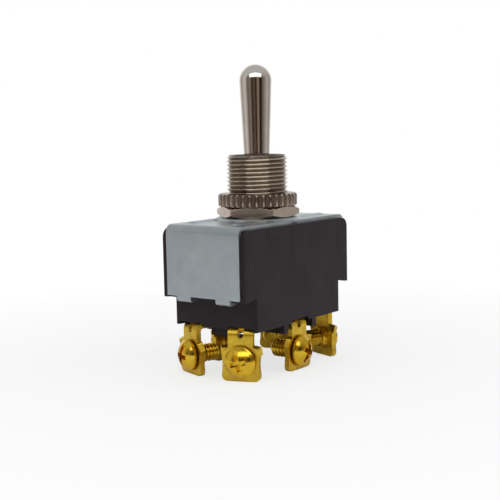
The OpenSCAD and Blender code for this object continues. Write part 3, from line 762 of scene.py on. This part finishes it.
def make_frame_plate():
    """One sheet with its pressed boss and beads, folded down at the ends and clinched under the case."""
    columns = frame_columns()
    right = frame_path()
    path = [(-x, z) for x, z in reversed(right)] + right[1:]
    bm = bmesh.new()
    grid = []
    for x, z in path:
        flat = z > -BOSS_H - TINY
        grid.append([bm.verts.new((x, y, z + (relief(x, y) if flat else 0))) for y in columns])
    for row, after in zip(grid, grid[1:]):
        for j in range(len(columns) - 1):
            bm.faces.new([row[j], row[j + 1], after[j + 1], after[j]])
    add_tabs(bm, -1, grid[0], columns)
    add_tabs(bm, 1, grid[-1], columns)
    bmesh.ops.remove_doubles(bm, verts=bm.verts, dist=WELD)
    bmesh.ops.recalc_face_normals(bm, faces=bm.faces)
    if sum(f.normal.z for f in bm.faces) < 0:
        bmesh.ops.reverse_faces(bm, faces=bm.faces)
    bmesh.ops.solidify(bm, geom=list(bm.faces), thickness=SHEET_T)
    mesh = finish_mesh(bm, "frame_plate", 30)
    hole = rod_mesh(SPIGOT_R + 0.03, (0, 0, -3), (0, 0, 1), 96)
    mesh = cut(mesh, [hole], "frame_plate")
    plate = add_piece("steel_frame", mesh, ZINC, "switch", ["frame_plate"])
    bevel(plate, 0.1, 2, 40)


# ---------------------------------------------------------------- terminal screws


def screw_mesh():
    """A binding screw along +Z, with its head's underside at the origin."""
    bm = bmesh.new()

    def tip(z):
        return min(SCREW_R, SCREW_R - SCREW_CHAMFER + (z + SCREW_L))

    add_thread(bm, SCREW_R, SCREW_DEPTH, SCREW_PITCH, -SCREW_L, 0, tip, SCREW_ROUND, 10)
    head = [(HEAD_R - HEAD_EDGE, 0), (HEAD_R, HEAD_EDGE), (HEAD_R, HEAD_RIM - HEAD_EDGE)]
    first = revolve(bm, head + dome_profile(), SCREW_ROUND)[0]
    for z, ring_verts in ((0, first), (-SCREW_L, ring(bm, 0, -SCREW_L, 1))):
        bridge(bm, ring_verts, verts_at(bm, z, 0.5, SCREW_R + 0.02, SCREW_ROUND))
    mesh = finish_mesh(bm, "screw", 30)
    recess = [
        block_above(2 * HEAD_R + 2, SLOT_W, HEAD_H - SLOT_DEPTH),
        block_above(CROSS_L, CROSS_W, HEAD_H - CROSS_DEPTH),
        block_above(CROSS_W, CROSS_L, HEAD_H - CROSS_DEPTH),
    ]
    return cut(mesh, recess, "screw")


def dome_profile():
    """Half outline of a screw's dome, from its rim to its top."""
    rise = HEAD_H - HEAD_RIM
    edge = HEAD_R - DOME_INSET
    radius = (edge ** 2 + rise ** 2) / (2 * rise)
    spots = [edge * (1 - i / DOME_STEPS) for i in range(DOME_STEPS + 1)]
    return [(r, HEAD_H - radius + math.sqrt(radius ** 2 - r ** 2)) for r in spots]


def block_above(length, width, z):
    """A block over the axis, from a height to clear above the screw's head."""
    return box_mesh((-length / 2, -width / 2, z), (length / 2, width / 2, HEAD_H + 1))


def make_screws():
    """One screw at each terminal, where its wire mount says."""
    shared = screw_mesh()
    shared.materials.clear()
    shared.materials.append(SCREW_BRASS)
    mounts = {m["name"]: m for m in frame["record"]["mounts"]}
    for place in SLOT_TURNS:
        mount = mounts[f"wire_{place}"]
        out = Vector(mount["axis"])
        down = Vector((0, 0, -1))
        side = Matrix.Rotation(math.radians(SLOT_TURNS[place]), 3, out) @ down
        turn = Matrix((side, out.cross(side), out)).transposed().to_4x4()
        seat = Vector(mount["pos_m"]) + out * HEAD_GAP * MM
        mesh = shared.copy()
        mesh.transform(Matrix.Translation(seat) @ turn)
        obj = new_object(f"binding_screw_{place}", mesh)
        bevel(obj, 0.06, 2, 40)
        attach(obj, "switch")
        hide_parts(f"terminal_screw_{place}")


# ---------------------------------------------------------------- housing


def strip_mesh(end, side):
    """A strip of the case that stands proud of an end face, beside the flange."""
    outer_x = HOUSING_HIGH.x + STRIP_RISE
    corner_x, corner_z = outer_x - CASE_CORNER_R, HOUSING_HIGH.z - CASE_CORNER_R
    root_x = HOUSING_HIGH.x - STRIP_ROOT
    outline = [(root_x, CASE_LEDGE_Z + STRIP_ROOT), (outer_x - 2 * STRIP_RISE, CASE_LEDGE_Z + STRIP_RISE / 2)]
    outline += [(outer_x, CASE_LEDGE_Z)] + arc(corner_x, corner_z, CASE_CORNER_R, 0, 90, 10)
    outline += [(root_x, HOUSING_HIGH.z - STRIP_SINK)]
    inner_y, outer_y = FRAME_HIGH.y + STRIP_GAP, HOUSING_HIGH.y
    bm = bmesh.new()
    rows = [[bm.verts.new((end * x, side * y, z)) for x, z in outline] for y in (inner_y, outer_y)]
    bridge(bm, *rows)
    for row in rows:
        bm.faces.new(row)
    return finish_mesh(bm, "strip", 30)


def make_housing():
    """The CAD case with its four strips, which the photo shows and the solid lacks."""
    case = frame["nodes"]["housing"].data.copy()
    strips = [strip_mesh(end, side) for end in (-1, 1) for side in (-1, 1)]
    mesh = join(case, strips, "case")
    soften(add_piece("case", mesh, PHENOLIC, "switch", ["housing"]), 0.18)


# ---------------------------------------------------------------- carried-over CAD nodes


def soften(obj, width):
    """Rounds the edges of an object that comes from a CAD mesh."""
    weld = obj.modifiers.new("weld", "WELD")
    weld.merge_threshold = 1e-6
    flat = obj.modifiers.new("flat", "DECIMATE")
    flat.decimate_type = "DISSOLVE"
    flat.angle_limit = math.radians(0.5)
    bevel(obj, width, 3, 30)


def dress(node, material):
    """Gives a CAD node its material."""
    obj = frame["nodes"][node]
    obj.data.materials.clear()
    obj.data.materials.append(material)
    return obj


def dress_nodes():
    """Materials for the inner nodes and the terminals, which keep their CAD shapes."""
    slots = {s["node"]: s["material_slot"] for s in frame["record"]["subparts"]}
    for node, slot in slots.items():
        if slot in INNER:
            dress(node, INNER[slot])
    for place in SLOT_TURNS:
        soften(dress(f"terminal_{place}", TERMINAL_BRASS), 0.1)


# ---------------------------------------------------------------- stage


# The camera, at the photo's angle. Its heading is that of its right-hand side, from +X
CAMERA_AT = (-161.95, -120.16, 15.84)
CAMERA_HEADING = math.radians(-52.94)
CAMERA_PITCH = math.radians(6.36)
CAMERA_ROLL = math.radians(-1.15)
LENS = 73.78
SENSOR = 36.0

# The floor's disc, and the ring in which it fades to white for the camera
FLOOR_R = 280
FADE_START = 30
FADE_END = 120
FADE_LEVEL = 0.72

# Bearing in degrees from the camera's side, level, and how warm it is
STUDIO = [
    (-180, 1.0, 0.0),
    (-150, 0.95, 0.0),
    (-122, 0.36, 0.2),
    (-84, 0.62, 0.12),
    (-60, 0.14, 0.4),
    (-42, 0.24, 0.4),
    (-27, 0.03, 0.8),
    (-11, 0.12, 0.7),
    (2, 0.01, 0.8),
    (18, 0.30, 0.6),
    (30, 0.01, 0.8),
    (40, 0.02, 0.6),
    (55, 0.17, 0.3),
    (94, 0.50, 0.15),
    (118, 0.30, 0.2),
    (150, 0.95, 0.0),
    (180, 1.0, 0.0),
]


def make_camera():
    """The camera, where the photo was taken from."""
    right = Vector((math.cos(CAMERA_HEADING), math.sin(CAMERA_HEADING), 0))
    level = math.cos(CAMERA_PITCH)
    back = Vector((right.y * level, -right.x * level, math.sin(CAMERA_PITCH)))
    up = back.cross(right)
    x = right * math.cos(CAMERA_ROLL) + up * math.sin(CAMERA_ROLL)
    y = up * math.cos(CAMERA_ROLL) - right * math.sin(CAMERA_ROLL)
    data = bpy.data.cameras.new("camera")
    data.sensor_width = SENSOR
    data.lens = LENS
    data.clip_start = 0.005
    data.clip_end = 20
    camera = new_object("camera", data)
    turn = Matrix((x, y, back)).transposed().to_4x4()
    camera.matrix_world = Matrix.Translation(Vector(CAMERA_AT) * MM) @ turn
    bpy.context.scene.camera = camera


def make_floor():
    """A white floor that shows the object's soft shadow and fades into the background."""
    bm = bmesh.new()
    bmesh.ops.create_circle(bm, cap_ends=True, segments=96, radius=FLOOR_R)
    floor = new_object("floor", finish_mesh(bm, "floor", 30))
    floor.location.z = FLOOR_Z * MM
    s = Shader("floor", roughness=0.7)
    s.bsdf.inputs["Base Color"].default_value = (0.86, 0.86, 0.86, 1)
    s.bsdf.inputs["Specular IOR Level"].default_value = 0.1
    white = s.node("ShaderNodeEmission")
    white.inputs["Color"].default_value = (1, 1, 1, 1)
    rays = s.node("ShaderNodeLightPath")
    position = s.node("ShaderNodeNewGeometry").outputs["Position"]
    length = s.node("ShaderNodeVectorMath", operation="LENGTH")
    s.link(position, length.inputs[0])
    share = s.node("ShaderNodeMapRange")
    share.inputs["From Min"].default_value = FADE_START * MM
    share.inputs["From Max"].default_value = FADE_END * MM
    share.inputs["To Min"].default_value = FADE_LEVEL
    share.inputs["To Max"].default_value = 1.0
    s.link(length.outputs["Value"], share.inputs["Value"])
    seen = s.node("ShaderNodeMath", operation="MULTIPLY")
    s.link(rays.outputs["Is Camera Ray"], seen.inputs[0])
    s.link(share.outputs["Result"], seen.inputs[1])
    mix = s.node("ShaderNodeMixShader")
    s.link(seen.outputs["Value"], mix.inputs["Fac"])
    s.link(s.bsdf.outputs["BSDF"], mix.inputs[1])
    s.link(white.outputs["Emission"], mix.inputs[2])
    s.link(mix.outputs["Shader"], s.tree.nodes["Material Output"].inputs["Surface"])
    floor.data.materials.append(s.material)


def studio_colours(tree):
    """The studio as metal sees it: a dim warm room on the camera's side, white behind the object."""
    turn = tree.nodes.new("ShaderNodeMapping")
    turn.inputs["Rotation"].default_value = (0, 0, math.radians(90) - CAMERA_HEADING)
    tree.links.new(tree.nodes.new("ShaderNodeTexCoord").outputs["Generated"], turn.inputs["Vector"])
    bearing = tree.nodes.new("ShaderNodeTexGradient")
    bearing.gradient_type = "RADIAL"
    tree.links.new(turn.outputs["Vector"], bearing.inputs["Vector"])
    ramp = tree.nodes.new("ShaderNodeValToRGB")
    elements = ramp.color_ramp.elements
    while len(elements) < len(STUDIO):
        elements.new(0.5)
    for element, (degrees, level, warmth) in zip(elements, STUDIO):
        element.position = 0.5 + degrees / 360
        element.color = (level, level * (1 - 0.45 * warmth), level * (1 - 0.75 * warmth), 1)
    tree.links.new(bearing.outputs["Color"], ramp.inputs["Fac"])
    split = tree.nodes.new("ShaderNodeSeparateXYZ")
    tree.links.new(turn.outputs["Vector"], split.inputs["Vector"])
    rise = tree.nodes.new("ShaderNodeMapRange")
    rise.interpolation_type = "SMOOTHSTEP"
    rise.inputs["From Min"].default_value = 0.25
    rise.inputs["From Max"].default_value = 0.85
    tree.links.new(split.outputs["Z"], rise.inputs["Value"])
    mix = tree.nodes.new("ShaderNodeMix")
    mix.data_type = "RGBA"
    tree.links.new(rise.outputs["Result"], mix.inputs[0])
    tree.links.new(ramp.outputs["Color"], mix.inputs[6])
    mix.inputs[7].default_value = (0.50, 0.51, 0.50, 1)
    return mix.outputs[2]


def make_world():
    """White to the camera, the studio to metal, and soft even light to all else."""
    world = bpy.data.worlds.new("studio")
    bpy.context.scene.world = world
    world.use_nodes = True
    tree = world.node_tree
    soft = tree.nodes["Background"]
    soft.inputs["Color"].default_value = (0.98, 0.99, 1.0, 1)
    soft.inputs["Strength"].default_value = 0.42
    room = tree.nodes.new("ShaderNodeBackground")
    tree.links.new(studio_colours(tree), room.inputs["Color"])
    white = tree.nodes.new("ShaderNodeBackground")
    white.inputs["Color"].default_value = (1, 1, 1, 1)
    rays = tree.nodes.new("ShaderNodeLightPath").outputs
    shader = soft.outputs["Background"]
    for ray, seen in (("Is Glossy Ray", room), ("Is Transmission Ray", white), ("Is Camera Ray", white)):
        mix = tree.nodes.new("ShaderNodeMixShader")
        tree.links.new(rays[ray], mix.inputs["Fac"])
        tree.links.new(shader, mix.inputs[1])
        tree.links.new(seen.outputs["Background"], mix.inputs[2])
        shader = mix.outputs["Shader"]
    tree.links.new(shader, tree.nodes["World Output"].inputs["Surface"])


def area_light(name, at, size, power, in_metal=False):
    """A soft box, placed and sized in millimetres and aimed at the case. in_metal lets metal mirror it."""
    data = bpy.data.lights.new(name, "AREA")
    data.shape = "RECTANGLE"
    data.size, data.size_y = size[0] * MM, size[1] * MM
    data.energy = power
    lamp = new_object(name, data)
    lamp.location = Vector(at) * MM
    aim = Vector(at) - Vector((0, 0, -5))
    lamp.rotation_mode = "QUATERNION"
    lamp.rotation_quaternion = aim.to_track_quat("Z", "Y")
    lamp.visible_glossy = in_metal


make_lever()
make_bushing()
make_hex_nut()
make_knurled_nut()
make_frame_plate()
make_screws()
make_housing()
dress_nodes()
make_camera()
make_floor()
make_world()
area_light("left_box", (-280, 110, 150), (260, 260), 0.2)
area_light("right_box", (110, -280, 150), (260, 260), 0.26)
area_light("front_box", (-173, -129, 212), (460, 150), 0.30, in_metal=True)
area_light("top_box", (40, 30, 320), (220, 220), 0.16)

bpy.context.scene.view_settings.view_transform = "Standard"
